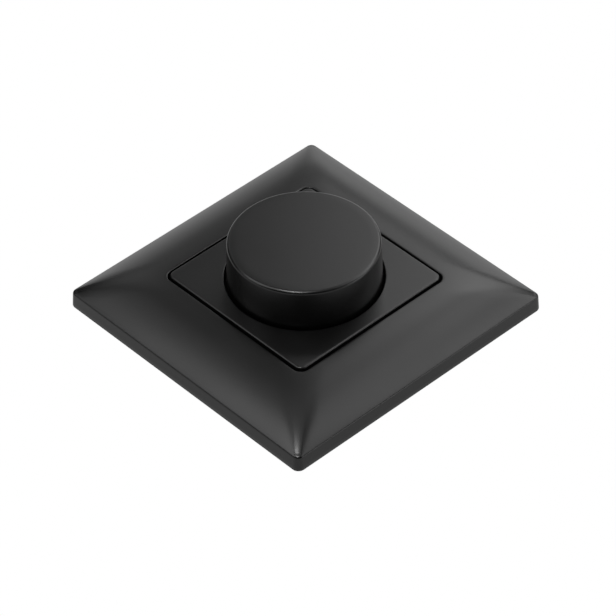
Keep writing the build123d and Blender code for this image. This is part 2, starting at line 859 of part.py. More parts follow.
with BuildPart() as choke_winding:
    with BuildSketch(choke_plane):
        Rectangle(choke_winding_width, choke_winding_width)
        winding_bore = choke_core_width + 2 * winding_gap
        Rectangle(winding_bore, winding_bore, mode=Mode.SUBTRACT)
    extrude(amount=choke_winding_length / 2, both=True)
write_piece(choke_winding, "choke_winding")

# Suppression capacitor and timing capacitor: potted boxes below the board
with BuildPart() as suppression_capacitor:
    with BuildSketch(Plane.XY.offset(board_bottom_z)):
        with Locations((x_capacitor_x, 0.0)):
            Rectangle(x_capacitor_width, x_capacitor_length)
    extrude(amount=-x_capacitor_height)
write_piece(suppression_capacitor, "suppression_capacitor")

with BuildPart() as timing_capacitor:
    with BuildSketch(Plane.XY.offset(board_bottom_z)):
        with Locations((0.0, timing_capacitor_y)):
            Rectangle(timing_capacitor_length, timing_capacitor_width)
    extrude(amount=-timing_capacitor_height)
write_piece(timing_capacitor, "timing_capacitor")


def axial_part(centre_x, centre_y, length, radius):
    """A small axial component below the board, with its leads bent up to the board."""
    reach = length / 2 + axial_lead_reach
    lead_half = axial_lead_width / 2
    leads_top = board_bottom_z - axial_z
    with BuildPart() as component:
        with BuildSketch(
            Plane(origin=(centre_x, centre_y, axial_z), x_dir=(0, 1, 0), z_dir=(1, 0, 0))
        ):
            Circle(radius)
        extrude(amount=length / 2, both=True)
        with BuildSketch(
            Plane(origin=(centre_x, centre_y, axial_z), x_dir=(1, 0, 0), z_dir=(0, -1, 0))
        ):
            with BuildLine():
                Polyline(
                    (-reach, leads_top),
                    (-reach, -lead_half),
                    (reach, -lead_half),
                    (reach, leads_top),
                    (reach - axial_lead_width, leads_top),
                    (reach - axial_lead_width, lead_half),
                    (-reach + axial_lead_width, lead_half),
                    (-reach + axial_lead_width, leads_top),
                    close=True,
                )
            make_face()
        extrude(amount=lead_half, both=True)
    return component.part


with BuildPart() as resistors:
    for row_y in resistor_rows:
        add(axial_part(resistor_x, row_y, resistor_length, resistor_radius))
write_piece(resistors, "resistors")

with BuildPart() as trigger_diode:
    add(axial_part(diac_x, resistor_rows[0], diac_length, diac_radius))
write_piece(trigger_diode, "trigger_diode")

# Terminals: a cage, a clamp plate and a screw for each wire
with BuildPart() as terminal_cages:
    for x in terminal_xs:
        with BuildSketch(Plane.XY.offset(cage_bottom_z)):
            with Locations((x, cage_front_y)):
                Rectangle(cage_width, cage_back_y - cage_front_y, align=(Align.CENTER, Align.MIN))
            with Locations((x, cage_slot_front_y)):
                Rectangle(
                    cage_slot_width,
                    cage_slot_back_y - cage_slot_front_y,
                    align=(Align.CENTER, Align.MIN),
                    mode=Mode.SUBTRACT,
                )
        extrude(amount=cage_top_z - cage_bottom_z)
        with BuildSketch(Plane.XY.offset(cage_top_z)):
            with Locations((x, cage_back_y)):
                Rectangle(
                    terminal_leg_width,
                    terminal_leg_thickness,
                    align=(Align.CENTER, Align.MAX),
                )
        extrude(amount=board_bottom_z - cage_top_z)
    thread_plane = Plane(origin=(0, cage_front_y, terminal_z), x_dir=(1, 0, 0), z_dir=(0, -1, 0))
    with BuildSketch(thread_plane):
        with Locations(*[(x, 0.0) for x in terminal_xs]):
            Circle(terminal_screw_radius + shaft_clearance)
    extrude(amount=cage_front_y - cage_slot_front_y, mode=Mode.SUBTRACT)
write_piece(terminal_cages, "terminal_cages")

with BuildPart() as terminal_clamps:
    with BuildSketch(Plane.XY.offset(terminal_z - clamp_height / 2)):
        with Locations(*[(x, cage_slot_front_y) for x in terminal_xs]):
            Rectangle(clamp_width, clamp_thickness, align=(Align.CENTER, Align.MIN))
    extrude(amount=clamp_height)
write_piece(terminal_clamps, "terminal_clamps")

with BuildPart() as terminal_screws:
    for x in terminal_xs:
        head_plane = Plane(
            origin=(x, terminal_screw_head_bottom_y, terminal_z),
            x_dir=(1, 0, 0),
            z_dir=(0, -1, 0),
        )
        add(
            headed_screw(
                head_plane,
                terminal_screw_head_radius,
                terminal_screw_head_bottom_y - terminal_screw_head_top_y,
                terminal_screw_radius,
                cage_slot_front_y - terminal_screw_head_bottom_y,
            )
        )
write_piece(terminal_screws, "terminal_screws")
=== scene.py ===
"""Looks for the rotary dimmer: fine visible shells, surface finishes, light and camera."""

import json
from math import atan2, cos, hypot, pi, radians, sin, sqrt, tan

import bmesh
import bpy
from mathutils import Matrix, Vector

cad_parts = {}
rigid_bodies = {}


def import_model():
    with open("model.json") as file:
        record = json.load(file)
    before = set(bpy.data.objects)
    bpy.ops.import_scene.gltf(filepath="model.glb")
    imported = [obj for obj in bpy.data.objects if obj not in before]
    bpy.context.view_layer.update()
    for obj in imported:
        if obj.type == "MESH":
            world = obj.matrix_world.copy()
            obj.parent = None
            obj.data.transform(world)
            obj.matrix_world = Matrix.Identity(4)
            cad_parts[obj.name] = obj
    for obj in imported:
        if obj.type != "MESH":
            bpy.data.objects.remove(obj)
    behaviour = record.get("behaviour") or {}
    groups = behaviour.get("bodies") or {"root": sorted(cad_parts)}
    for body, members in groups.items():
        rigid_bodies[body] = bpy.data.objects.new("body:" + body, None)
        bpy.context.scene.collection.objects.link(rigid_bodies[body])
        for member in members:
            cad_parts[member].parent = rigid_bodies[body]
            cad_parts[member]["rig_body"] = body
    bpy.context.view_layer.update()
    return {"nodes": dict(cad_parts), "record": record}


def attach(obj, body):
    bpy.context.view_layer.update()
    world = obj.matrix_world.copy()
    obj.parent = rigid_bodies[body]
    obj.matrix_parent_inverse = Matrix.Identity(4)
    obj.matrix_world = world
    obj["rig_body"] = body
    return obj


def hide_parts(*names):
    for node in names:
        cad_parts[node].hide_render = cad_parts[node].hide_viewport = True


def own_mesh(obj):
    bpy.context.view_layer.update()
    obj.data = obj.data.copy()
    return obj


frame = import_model()
SLOTS = {part["node"]: part["material_slot"] for part in frame["record"]["subparts"]}
MM = 0.001
AXIS_R = 1e-4  # a turned profile stays this far off its axis, in millimetres


# Mesh helpers


def add_object(name, mesh, body, node):
    """A shown piece that rides on a body and stands for a CAD node."""
    piece = bpy.data.objects.new(name, mesh)
    bpy.context.scene.collection.objects.link(piece)
    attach(piece, body)
    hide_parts(node)
    return piece


def rounded_contour(half, corner, per_side=28, per_corner=12):
    """Points round a square with rounded corners, the same count for any size."""
    points = []
    centre = half - corner
    for quarter in range(4):
        turn = quarter * pi / 2
        c, s = cos(turn), sin(turn)
        local = []
        for k in range(per_side):
            local.append((half, -centre + 2 * centre * k / per_side))
        for k in range(per_corner):
            a = pi / 2 * k / per_corner
            local.append((centre + corner * cos(a), centre + corner * sin(a)))
        points += [(c * x - s * y, s * x + c * y) for x, y in local]
    return points


def ring_mesh(name, rings, smooth_angle):
    """Quads between rings of points; the last ring joins the first."""
    bm = bmesh.new()
    rows = [[bm.verts.new([c * MM for c in p]) for p in ring] for ring in rings]
    count = len(rows[0])
    for low, high in zip(rows, rows[1:] + rows[:1]):
        for k in range(count):
            n = (k + 1) % count
            bm.faces.new((low[k], low[n], high[n], high[k]))
    bmesh.ops.remove_doubles(bm, verts=bm.verts, dist=1e-8)
    bmesh.ops.recalc_face_normals(bm, faces=bm.faces)
    return finish_mesh(name, bm, smooth_angle)


def finish_mesh(name, bm, smooth_angle):
    """Turns a bmesh into a mesh with smooth faces and sharp edges by angle."""
    limit = radians(smooth_angle)
    for face in bm.faces:
        face.smooth = True
    for edge in bm.edges:
        if len(edge.link_faces) == 2 and edge.calc_face_angle(0.0) > limit:
            edge.smooth = False
    mesh = bpy.data.meshes.new(name)
    bm.to_mesh(mesh)
    bm.free()
    return mesh


def lathe(name, profile, segments, smooth_angle):
    """A closed profile of (radius, height) turned about Z."""
    angles = [2 * pi * k / segments for k in range(segments)]
    rings = []
    for r, z in profile:
        radius = max(r, AXIS_R)
        rings.append([(radius * cos(a), radius * sin(a), z) for a in angles])
    return ring_mesh(name, rings, smooth_angle)


def arc_points(cx, cz, radius, start, end, steps):
    """Points along an arc in a profile, angles in degrees from +r towards +z."""
    out = []
    for k in range(steps + 1):
        a = radians(start + (end - start) * k / steps)
        out.append((cx + radius * cos(a), cz + radius * sin(a)))
    return out


def refined_copy(node, width):
    """A cleaned copy of a CAD node's mesh with its sharper edges softened."""
    angle = 35
    source = frame["nodes"][node]
    bm = bmesh.new()
    bm.from_mesh(source.data)
    bmesh.ops.remove_doubles(bm, verts=bm.verts, dist=2e-6)
    bmesh.ops.dissolve_limit(
        bm, angle_limit=radians(0.5), use_dissolve_boundaries=False, verts=bm.verts, edges=bm.edges
    )
    bmesh.ops.recalc_face_normals(bm, faces=bm.faces)
    mesh = finish_mesh(f"{node}_shell", bm, angle)
    piece = add_object(f"{node}_skin", mesh, node_body(node), node)
    bevel = piece.modifiers.new("edges", "BEVEL")
    bevel.width = width * MM
    bevel.segments = 2
    bevel.limit_method = "ANGLE"
    bevel.angle_limit = radians(angle)
    bevel.miter_outer = "MITER_ARC"
    normals = piece.modifiers.new("normals", "WEIGHTED_NORMAL")
    normals.keep_sharp = True
    return piece


def node_body(node):
    """The body that a CAD node rides on."""
    return frame["nodes"][node]["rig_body"]


# Cover frame: sizes in millimetres, the same as in the solids

FRAME_HALF = 43.0
FRAME_CORNER = 2.0
INNER_CORNER = 1.2
DRAFT = tan(radians(4.0))
SHOULDER_Z = 4.25
CREST_Z = 10.3
OPEN_HALF = 25.55
OPEN_CORNER = 2.6
WALL = 1.9
LEDGE_HALF = 23.5
LEDGE_TOP = 7.05
LEDGE_BOTTOM = 5.55
COLLAR_HALF = OPEN_HALF + 1.6
RIB_BOTTOM = 2.9
RIB_THICK = 1.2
CREST_HALF = OPEN_HALF - OPEN_CORNER / 3
SHOULDER_HALF = FRAME_HALF - SHOULDER_Z * DRAFT
RUN = SHOULDER_HALF - CREST_HALF
RISE = CREST_Z - SHOULDER_Z
CROWN_R = (RUN**2 + RISE**2) / (2 * RISE)
CROWN_CZ = CREST_Z - CROWN_R
# only here: the roundings, and the crown's corner radius near the opening, which softens its crease
SHOULDER_EDGE = 0.75
CREST_SOFT = 8.5
OPEN_RIM = 0.3
LEDGE_EDGE = 0.15


def crown_corner(half):
    """Corner radius of the crown's level line of that half width."""
    share = min(max((half - OPEN_HALF) / (SHOULDER_HALF - OPEN_HALF), 0.0), 1.0)
    return CREST_SOFT + (FRAME_CORNER - CREST_SOFT) * share**1.4


def level_half(x, y):
    """Half width of the crown's level line that passes through a point."""
    a, b = max(abs(x), abs(y)), min(abs(x), abs(y))
    low, high = a, a + CREST_SOFT
    for _ in range(40):
        mid = (low + high) / 2
        r = crown_corner(mid)
        u, v = max(a - mid + r, 0.0), max(b - mid + r, 0.0)
        if hypot(u, v) > r:
            low = mid
        else:
            high = mid
    return (low + high) / 2


def crown_z(x, y, offset=0.0):
    """Height of the crown over a point, moved inwards by an offset."""
    run = max(level_half(x, y) - CREST_HALF, 0.0)
    return CROWN_CZ + sqrt((CROWN_R - offset) ** 2 - run**2)


def frame_rings():
    """Rings of the frame's closed section, from the rear rim round the crown and back."""
    rings = []

    def flat(half, corner, z):
        rings.append([(x, y, z) for x, y in rounded_contour(half, corner)])

    def domed(half, corner, offset, lift=0.0):
        rings.append(
            [(x, y, crown_z(x, y, offset) + lift) for x, y in rounded_contour(half, corner)]
        )

    def wall(z, inset=0.0):
        lean = z * DRAFT + inset
        flat(FRAME_HALF - lean, FRAME_CORNER - lean, z)

    wall(0.0, 0.25)
    wall(0.07, 0.07)
    wall(0.25)
    wall(1.5)
    # the shoulder: a small rounding from the wall into the crown's first slope
    centre_half = SHOULDER_HALF
    for _ in range(20):
        run_c = centre_half - CREST_HALF
        centre_z = CROWN_CZ + sqrt((CROWN_R - SHOULDER_EDGE) ** 2 - run_c**2)
        centre_half = FRAME_HALF - centre_z * DRAFT - SHOULDER_EDGE * sqrt(1 + DRAFT**2)
    wall(centre_z - 0.6)
    start_angle = atan2(DRAFT, 1.0)
    end_angle = atan2(centre_z - CROWN_CZ, centre_half - CREST_HALF)
    for k in range(9):
        a = start_angle + (end_angle - start_angle) * k / 8
        half = centre_half + SHOULDER_EDGE * cos(a)
        flat(half, FRAME_CORNER - (FRAME_HALF - half), centre_z + SHOULDER_EDGE * sin(a))
    start_half = half
    steps = 44
    for k in range(1, steps + 1):
        t = k / steps
        half = start_half + (OPEN_HALF + OPEN_RIM - start_half) * t
        start_corner = FRAME_CORNER - (FRAME_HALF - start_half)
        corner = start_corner * (1 - t) + (OPEN_CORNER + OPEN_RIM) * t
        domed(half, corner, 0.0)
    # rounded rim of the opening
    for k in range(1, 5):
        a = pi / 2 * k / 4
        out = OPEN_RIM * (1 - sin(a))
        domed(OPEN_HALF + out, OPEN_CORNER + out, 0.0, -OPEN_RIM * (1 - cos(a)))
    flat(OPEN_HALF, OPEN_CORNER, LEDGE_TOP + 1.7)
    flat(OPEN_HALF, OPEN_CORNER, LEDGE_TOP + LEDGE_EDGE)
    flat(OPEN_HALF - LEDGE_EDGE, OPEN_CORNER, LEDGE_TOP)
    flat(LEDGE_HALF + LEDGE_EDGE, OPEN_CORNER, LEDGE_TOP)
    flat(LEDGE_HALF, OPEN_CORNER, LEDGE_TOP - LEDGE_EDGE)
    flat(LEDGE_HALF, OPEN_CORNER, LEDGE_BOTTOM + LEDGE_EDGE)
    flat(LEDGE_HALF + LEDGE_EDGE, OPEN_CORNER, LEDGE_BOTTOM)
    # the collar below the ledge, then the shell's inner side
    flat(COLLAR_HALF - 0.2, OPEN_CORNER + 1.4, LEDGE_BOTTOM)
    flat(COLLAR_HALF, OPEN_CORNER + 1.6, LEDGE_BOTTOM + 0.2)
    domed(COLLAR_HALF, OPEN_CORNER + 1.6, WALL, -0.3)
    domed(COLLAR_HALF + 0.3, OPEN_CORNER + 1.7, WALL)
    inner_half = FRAME_HALF - WALL
    for k in range(1, 17):
        t = k / 16
        half = COLLAR_HALF + 0.3 + (inner_half - COLLAR_HALF - 0.3) * t
        corner = (OPEN_CORNER + 1.7) * (1 - t) + INNER_CORNER * t
        domed(half, corner, WALL)
    flat(inner_half, INNER_CORNER, 0.2)
    flat(inner_half + 0.15, INNER_CORNER + 0.1, 0.0)
    return rings


def build_frame():
    """The cover frame: its closed section and eight ribs."""
    mesh = ring_mesh("cover_frame_shell", frame_rings(), 50)
    bm = bmesh.new()
    bm.from_mesh(mesh)
    for quarter in range(4):
        for side in (-1, 1):
            middle = side * OPEN_HALF / 2
            lo = (COLLAR_HALF - 0.4, middle - RIB_THICK / 2, RIB_BOTTOM)
            hi = (FRAME_HALF - WALL, middle + RIB_THICK / 2, RIB_BOTTOM)
            rib_box(bm, lo, hi, quarter * pi / 2)
    bm.to_mesh(mesh)
    bm.free()
    return add_object("cover_frame_skin", mesh, "base", "cover_frame")


def rib_box(bm, lo, hi, turn):
    """A stiffening rib whose top follows the shell's middle."""
    steps = 10
    c, s = cos(turn), sin(turn)
    rows = []
    for k in range(steps + 1):
        x = lo[0] + (hi[0] - lo[0]) * k / steps
        top = min(crown_z(x, (lo[1] + hi[1]) / 2, WALL / 2), LEDGE_TOP)
        row = []
        for y, z in ((lo[1], lo[2]), (hi[1], lo[2]), (hi[1], top), (lo[1], top)):
            row.append(bm.verts.new(((c * x - s * y) * MM, (s * x + c * y) * MM, z * MM)))
        rows.append(row)
    for a, b in zip(rows, rows[1:]):
        for k in range(4):
            n = (k + 1) % 4
            bm.faces.new((a[k], a[n], b[n], b[k]))
    bm.faces.new(rows[0])
    bm.faces.new(reversed(rows[-1]))


# Centre plate

PLATE_HALF = 24.85
PLATE_CORNER = 1.9
PLATE_TOP = 10.62
PLATE_WALL = 1.5
RECESS_R = 20.6
RECESS_FLOOR = 8.0
HOLE_R = 5.15
# only here: the roundings, and where the flat top starts inside the outer one
PLATE_EDGE = 0.42
PLATE_RIM = 0.45
RECESS_EDGE = 0.2


def build_plate():
    """The centre plate: square outside, round inside, one closed section."""
    outline = rounded_contour(PLATE_HALF, PLATE_CORNER)
    rings = []

    def square(half, corner, z):
        rings.append([(x, y, z) for x, y in rounded_contour(half, corner)])

    def circle(radius, z):
        rings.append([(radius * x / hypot(x, y), radius * y / hypot(x, y), z) for x, y in outline])

    def between(share, z):
        ring = []
        for x, y in outline:
            point = []
            for c in (x, y):
                outer = c * (PLATE_HALF - PLATE_RIM) / PLATE_HALF * (1 - share)
                point.append(outer + RECESS_R * c / hypot(x, y) * share)
            ring.append((*point, z))
        rings.append(ring)

    square(PLATE_HALF - 0.1, PLATE_CORNER - 0.1, LEDGE_TOP)
    square(PLATE_HALF, PLATE_CORNER, LEDGE_TOP + 0.1)
    square(PLATE_HALF, PLATE_CORNER, LEDGE_TOP + 1.9)
    for k in range(6):
        a = pi / 2 * k / 5
        out = PLATE_EDGE * cos(a)
        square(
            PLATE_HALF - PLATE_EDGE + out,
            PLATE_CORNER - PLATE_EDGE + out,
            PLATE_TOP - PLATE_EDGE + PLATE_EDGE * sin(a),
        )
    for share in (0.05, 0.35, 0.7, 0.96):
        between(share, PLATE_TOP)
    for k in range(5):
        a = pi / 2 * k / 4
        circle(
            RECESS_R + RECESS_EDGE - RECESS_EDGE * sin(a),
            PLATE_TOP - RECESS_EDGE + RECESS_EDGE * cos(a),
        )
    circle(RECESS_R, RECESS_FLOOR + 1.4)
    circle(RECESS_R, RECESS_FLOOR + 0.2)
    circle(RECESS_R - 0.2, RECESS_FLOOR)
    circle(12.0, RECESS_FLOOR)
    circle(HOLE_R + 0.1, RECESS_FLOOR)
    circle(HOLE_R, RECESS_FLOOR - 0.1)
    circle(HOLE_R, RECESS_FLOOR - PLATE_WALL)
    circle(RECESS_R + PLATE_WALL, RECESS_FLOOR - PLATE_WALL)
    circle(RECESS_R + PLATE_WALL, PLATE_TOP - PLATE_WALL)
    square(PLATE_HALF - PLATE_WALL, PLATE_CORNER - PLATE_WALL, PLATE_TOP - PLATE_WALL)
    square(PLATE_HALF - PLATE_WALL, PLATE_CORNER - PLATE_WALL, LEDGE_TOP)
    mesh = ring_mesh("centre_plate_shell", rings, 50)
    return add_object("centre_plate_skin", mesh, "base", "centre_plate")


# Rotary knob: tapered, with a wider edge rounding than the solid's and without its hidden ribs

KNOB_TOP = 22.4
KNOB_TOP_R = 19.7
KNOB_FOOT_R = 20.0
KNOB_FOOT_Z = 9.46
KNOB_EDGE = 0.9
KNOB_INNER_R = 17.8
KNOB_CEILING = 20.2
HUB_R = 5.0
HUB_BOTTOM = 13.1
BORE_R = 3.05
BORE_TOP = 19.9


def build_knob():
    """The knob: a shell with a hub, turned about its axis."""
    profile = [(0.0, KNOB_TOP), (6.0, KNOB_TOP), (12.0, KNOB_TOP), (17.0, KNOB_TOP)]
    profile += arc_points(KNOB_TOP_R - KNOB_EDGE, KNOB_TOP - KNOB_EDGE, KNOB_EDGE, 90, 0, 10)
    for share in (0.3, 0.65, 0.97):
        z = KNOB_TOP - KNOB_EDGE + (KNOB_FOOT_Z - KNOB_TOP + KNOB_EDGE) * share
        profile.append((KNOB_TOP_R + (KNOB_FOOT_R - KNOB_TOP_R) * share, z))
    profile += [
        (KNOB_FOOT_R - 0.08, KNOB_FOOT_Z + 0.07),
        (KNOB_FOOT_R - 0.3, KNOB_FOOT_Z),
        (KNOB_INNER_R + 0.25, KNOB_FOOT_Z),
        (KNOB_INNER_R, KNOB_FOOT_Z + 0.25),
        (KNOB_INNER_R, KNOB_CEILING - 0.25),
        (KNOB_INNER_R - 0.25, KNOB_CEILING),
        (HUB_R + 0.2, KNOB_CEILING),
        (HUB_R, KNOB_CEILING - 0.2),
        (HUB_R, HUB_BOTTOM + 0.2),
        (HUB_R - 0.2, HUB_BOTTOM),
        (BORE_R, HUB_BOTTOM),
        (BORE_R, BORE_TOP),
        (0.0, BORE_TOP),
    ]
    mesh = lathe("rotary_knob_shell", profile, 256, 35)
    return add_object("rotary_knob_skin", mesh, "stem", "rotary_knob")


cover_frame_skin = build_frame()
centre_plate_skin = build_plate()
rotary_knob_skin = build_knob()

# Inner and rear pieces: the solids with their moulded, stamped and turned edges softened
SOFTENED = {
    "rear_housing": 0.3,
    "support_plate": 0.15,
    "circuit_board": 0.1,
    "pot_housing": 0.35,
    "pot_nut": 0.3,
    "plate_nut": 0.3,
    "control_shaft": 0.25,
    "switch_body": 0.35,
    "switch_slider": 0.2,
    "triac_body": 0.35,
    "triac_tab": 0.12,
    "suppression_capacitor": 0.7,
    "timing_capacitor": 0.8,
    "choke_core": 0.25,
    "terminal_cages": 0.25,
    "terminal_clamps": 0.12,
    "fuse_caps": 0.2,
    "resistors": 0.3,
    "trigger_diode": 0.2,
}
softened = [refined_copy(node, width) for node, width in SOFTENED.items()]


def thread_profile(crest, root, low, high, pitch):
    """Points of a threaded wall from low to high, crests and roots in turn."""
    points = []
    count = int((high - low) / pitch)
    for k in range(count):
        z = low + pitch * k
        points += [(root, z), (root, z + 0.15 * pitch)]
        points += [(crest, z + 0.5 * pitch), (crest, z + 0.65 * pitch)]
    points.append((root, low + pitch * count))
    return points


def turned_part(bm, profile, segments=48):
    """Adds a turned section of (radius, height) to a mesh; a radius of 0 is a point."""
    rows = []
    for r, z in profile:
        if r == 0.0:
            rows.append([bm.verts.new((0, 0, z * MM))] * segments)
            continue
        row = []
        for k in range(segments):
            a = 2 * pi * k / segments
            row.append(bm.verts.new((r * cos(a) * MM, r * sin(a) * MM, z * MM)))
        rows.append(row)
    for low, high in zip(rows, rows[1:]):
        for k in range(segments):
            n = (k + 1) % segments
            corners = []
            for v in (low[k], low[n], high[n], high[k]):
                if v not in corners:
                    corners.append(v)
            if len(corners) > 2:
                bm.faces.new(corners)


def slotted_screw(matrix, head_r, head_h, shank_r, shank_l, slot, depth, pitch):
    """A cheese-head screw with a straight slot; the head stands on z = 0 of its matrix."""
    bm = bmesh.new()
    soft = 0.25
    profile = [(0.0, head_h)] + arc_points(head_r - soft, head_h - soft, soft, 90, 0, 4)
    profile += [(head_r, 0.1), (head_r - 0.1, 0.0), (shank_r, 0.0), (shank_r, -0.2)]
    thread = thread_profile(shank_r, shank_r * 0.86, 0.0, shank_l - 0.6, pitch)
    profile += [(r, -0.3 - z) for r, z in thread]
    profile += [(shank_r * 0.7, -shank_l), (0.0, -shank_l)]
    turned_part(bm, profile)
    half, floor_z = slot / 2 * MM, (head_h - depth) * MM
    for place, normal in (
        ((0, half, 0), (0, 1, 0)),
        ((0, -half, 0), (0, -1, 0)),
        ((0, 0, floor_z), (0, 0, 1)),
    ):
        everything = bm.verts[:] + bm.edges[:] + bm.faces[:]
        bmesh.ops.bisect_plane(bm, geom=everything, dist=1e-7, plane_co=place, plane_no=normal)
    cut = []
    for face in bm.faces:
        middle = face.calc_center_median()
        if abs(middle.y) < half and middle.z > floor_z + 1e-7:
            cut.append(face)
    bmesh.ops.delete(bm, geom=cut, context="FACES")
    rim = [v for v in bm.verts if v.is_boundary]
    level = (head_h - depth / 2) * MM
    for side in (-half, half):
        wall = [v for v in rim if abs(v.co.y - side) < 1e-7]
        wall.sort(key=lambda v: atan2(v.co.z - level, v.co.x))
        bm.faces.new(wall)
    base = [v for v in rim if abs(v.co.z - floor_z) < 1e-7]
    base.sort(key=lambda v: atan2(v.co.y, v.co.x))
    bm.faces.new(base)
    bmesh.ops.recalc_face_normals(bm, faces=bm.faces)
    bmesh.ops.transform(bm, matrix=matrix, verts=bm.verts)
    return bm


def screw_set(node, matrices, *sizes):
    """Several equal slotted screws as one piece."""
    whole = bmesh.new()
    for matrix in matrices:
        bm = slotted_screw(matrix, *sizes)
        mesh = bpy.data.meshes.new("screw")
        bm.to_mesh(mesh)
        bm.free()
        whole.from_mesh(mesh)
        bpy.data.meshes.remove(mesh)
    mesh = finish_mesh(f"{node}_shell", whole, 35)
    return add_object(f"{node}_skin", mesh, node_body(node), node)


def placed(x, y, z):
    """A frame at a place in millimetres."""
    return Matrix.Translation((x * MM, y * MM, z * MM))


def upright(x, y, z, turn):
    """A frame whose height runs along Z, turned about its own axis."""
    return placed(x, y, z) @ Matrix.Rotation(radians(turn), 4, "Z")


def sideways(x, y, z, turn):
    """A frame whose height runs along -Y, turned about its own axis."""
    lean = Matrix.Rotation(pi / 2, 4, "X")
    return placed(x, y, z) @ lean @ Matrix.Rotation(radians(turn), 4, "Z")


# head radius and height, shank radius and length, slot width and depth, thread pitch
housing_places = [upright(18.8, 18.8, 1.2, 25), upright(-18.8, -18.8, 1.2, 70)]
softened.append(screw_set("housing_screws", housing_places, 2.2, 1.5, 1.1, 10.0, 0.6, 0.7, 0.8))
terminal_places = [
    sideways(x, -21.3, -17.2, turn) for x, turn in ((-10.5, 12), (0.0, 78), (10.5, 47))
]
softened.append(
    screw_set("terminal_screws", terminal_places, 2.3, 1.5, 1.6, 1.7, 0.7, 0.8, 0.5)
)


def build_bushing():
    """The threaded bushing with its square flange and the bore for the shaft."""
    rings = []
    for half, z in ((6.7, -1.0), (7.0, -0.85), (7.0, -0.15), (6.85, 0.0)):
        rings.append([(x, y, z) for x, y in rounded_contour(half, 0.6, 8, 4)])
    profile = [(4.95, 0.0), (4.95, 0.35)] + thread_profile(4.95, 4.6, 0.6, 11.3, 0.75)
    profile += [(4.6, 11.6), (4.4, 11.8), (3.25, 11.8), (3.05, 11.6), (3.05, -1.0)]
    for r, z in profile:
        rings.append([(r * x / hypot(x, y), r * y / hypot(x, y), z) for x, y, _ in rings[0]])
    mesh = ring_mesh("pot_bushing_shell", rings, 30)
    return add_object("pot_bushing_skin", mesh, "base", "pot_bushing")


def build_winding():
    """The choke's winding: close turns of round wire on a square former."""
    centre_x, centre_y, centre_z = 14.0, 1.5, -13.6
    turns, per_turn, half_length = 16, 6, 6.0
    steps = turns * per_turn
    rings = []

    def loop(half, corner, y):
        points = rounded_contour(half, corner, 6, 6)
        rings.append([(centre_x + u, y, centre_z + v) for u, v in points])

    for k in range(steps + 1):
        bulge = abs(sin(pi * k / per_turn))
        loop(4.12 + 0.38 * bulge, 1.6, centre_y - half_length + 2 * half_length * k / steps)
    for y in (centre_y + half_length, centre_y - half_length):
        loop(2.34, 0.3, y)
    mesh = ring_mesh("choke_winding_shell", rings, 50)
    return add_object("choke_winding_skin", mesh, "base", "choke_winding")


def build_spring():
    """The switch's spring: a round wire coil."""
    low, high, coil, wire, turns, steps, sides = -15.8, -12.5, 2.2, 0.24, 2.0, 96, 10
    bm = bmesh.new()
    rows = []
    for k in range(steps + 1):
        a = 2 * pi * turns * k / steps
        middle = low + 0.25 + (high - low - 0.5) * k / steps
        row = []
        for m in range(sides):
            b = 2 * pi * m / sides
            r, z = coil + wire * cos(b), middle + wire * sin(b)
            row.append(bm.verts.new((r * cos(a) * MM, r * sin(a) * MM, z * MM)))
        rows.append(row)
    for one, other in zip(rows, rows[1:]):
        for m in range(sides):
            n = (m + 1) % sides
            bm.faces.new((one[m], one[n], other[n], other[m]))
    bm.faces.new(rows[0])
    bm.faces.new(reversed(rows[-1]))
    bmesh.ops.recalc_face_normals(bm, faces=bm.faces)
    mesh = finish_mesh("switch_spring_shell", bm, 50)
    spring = add_object("switch_spring_skin", mesh, "base", "switch_spring")
    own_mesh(spring)
    return spring


softened += [build_bushing(), build_winding(), build_spring()]


# Finishes


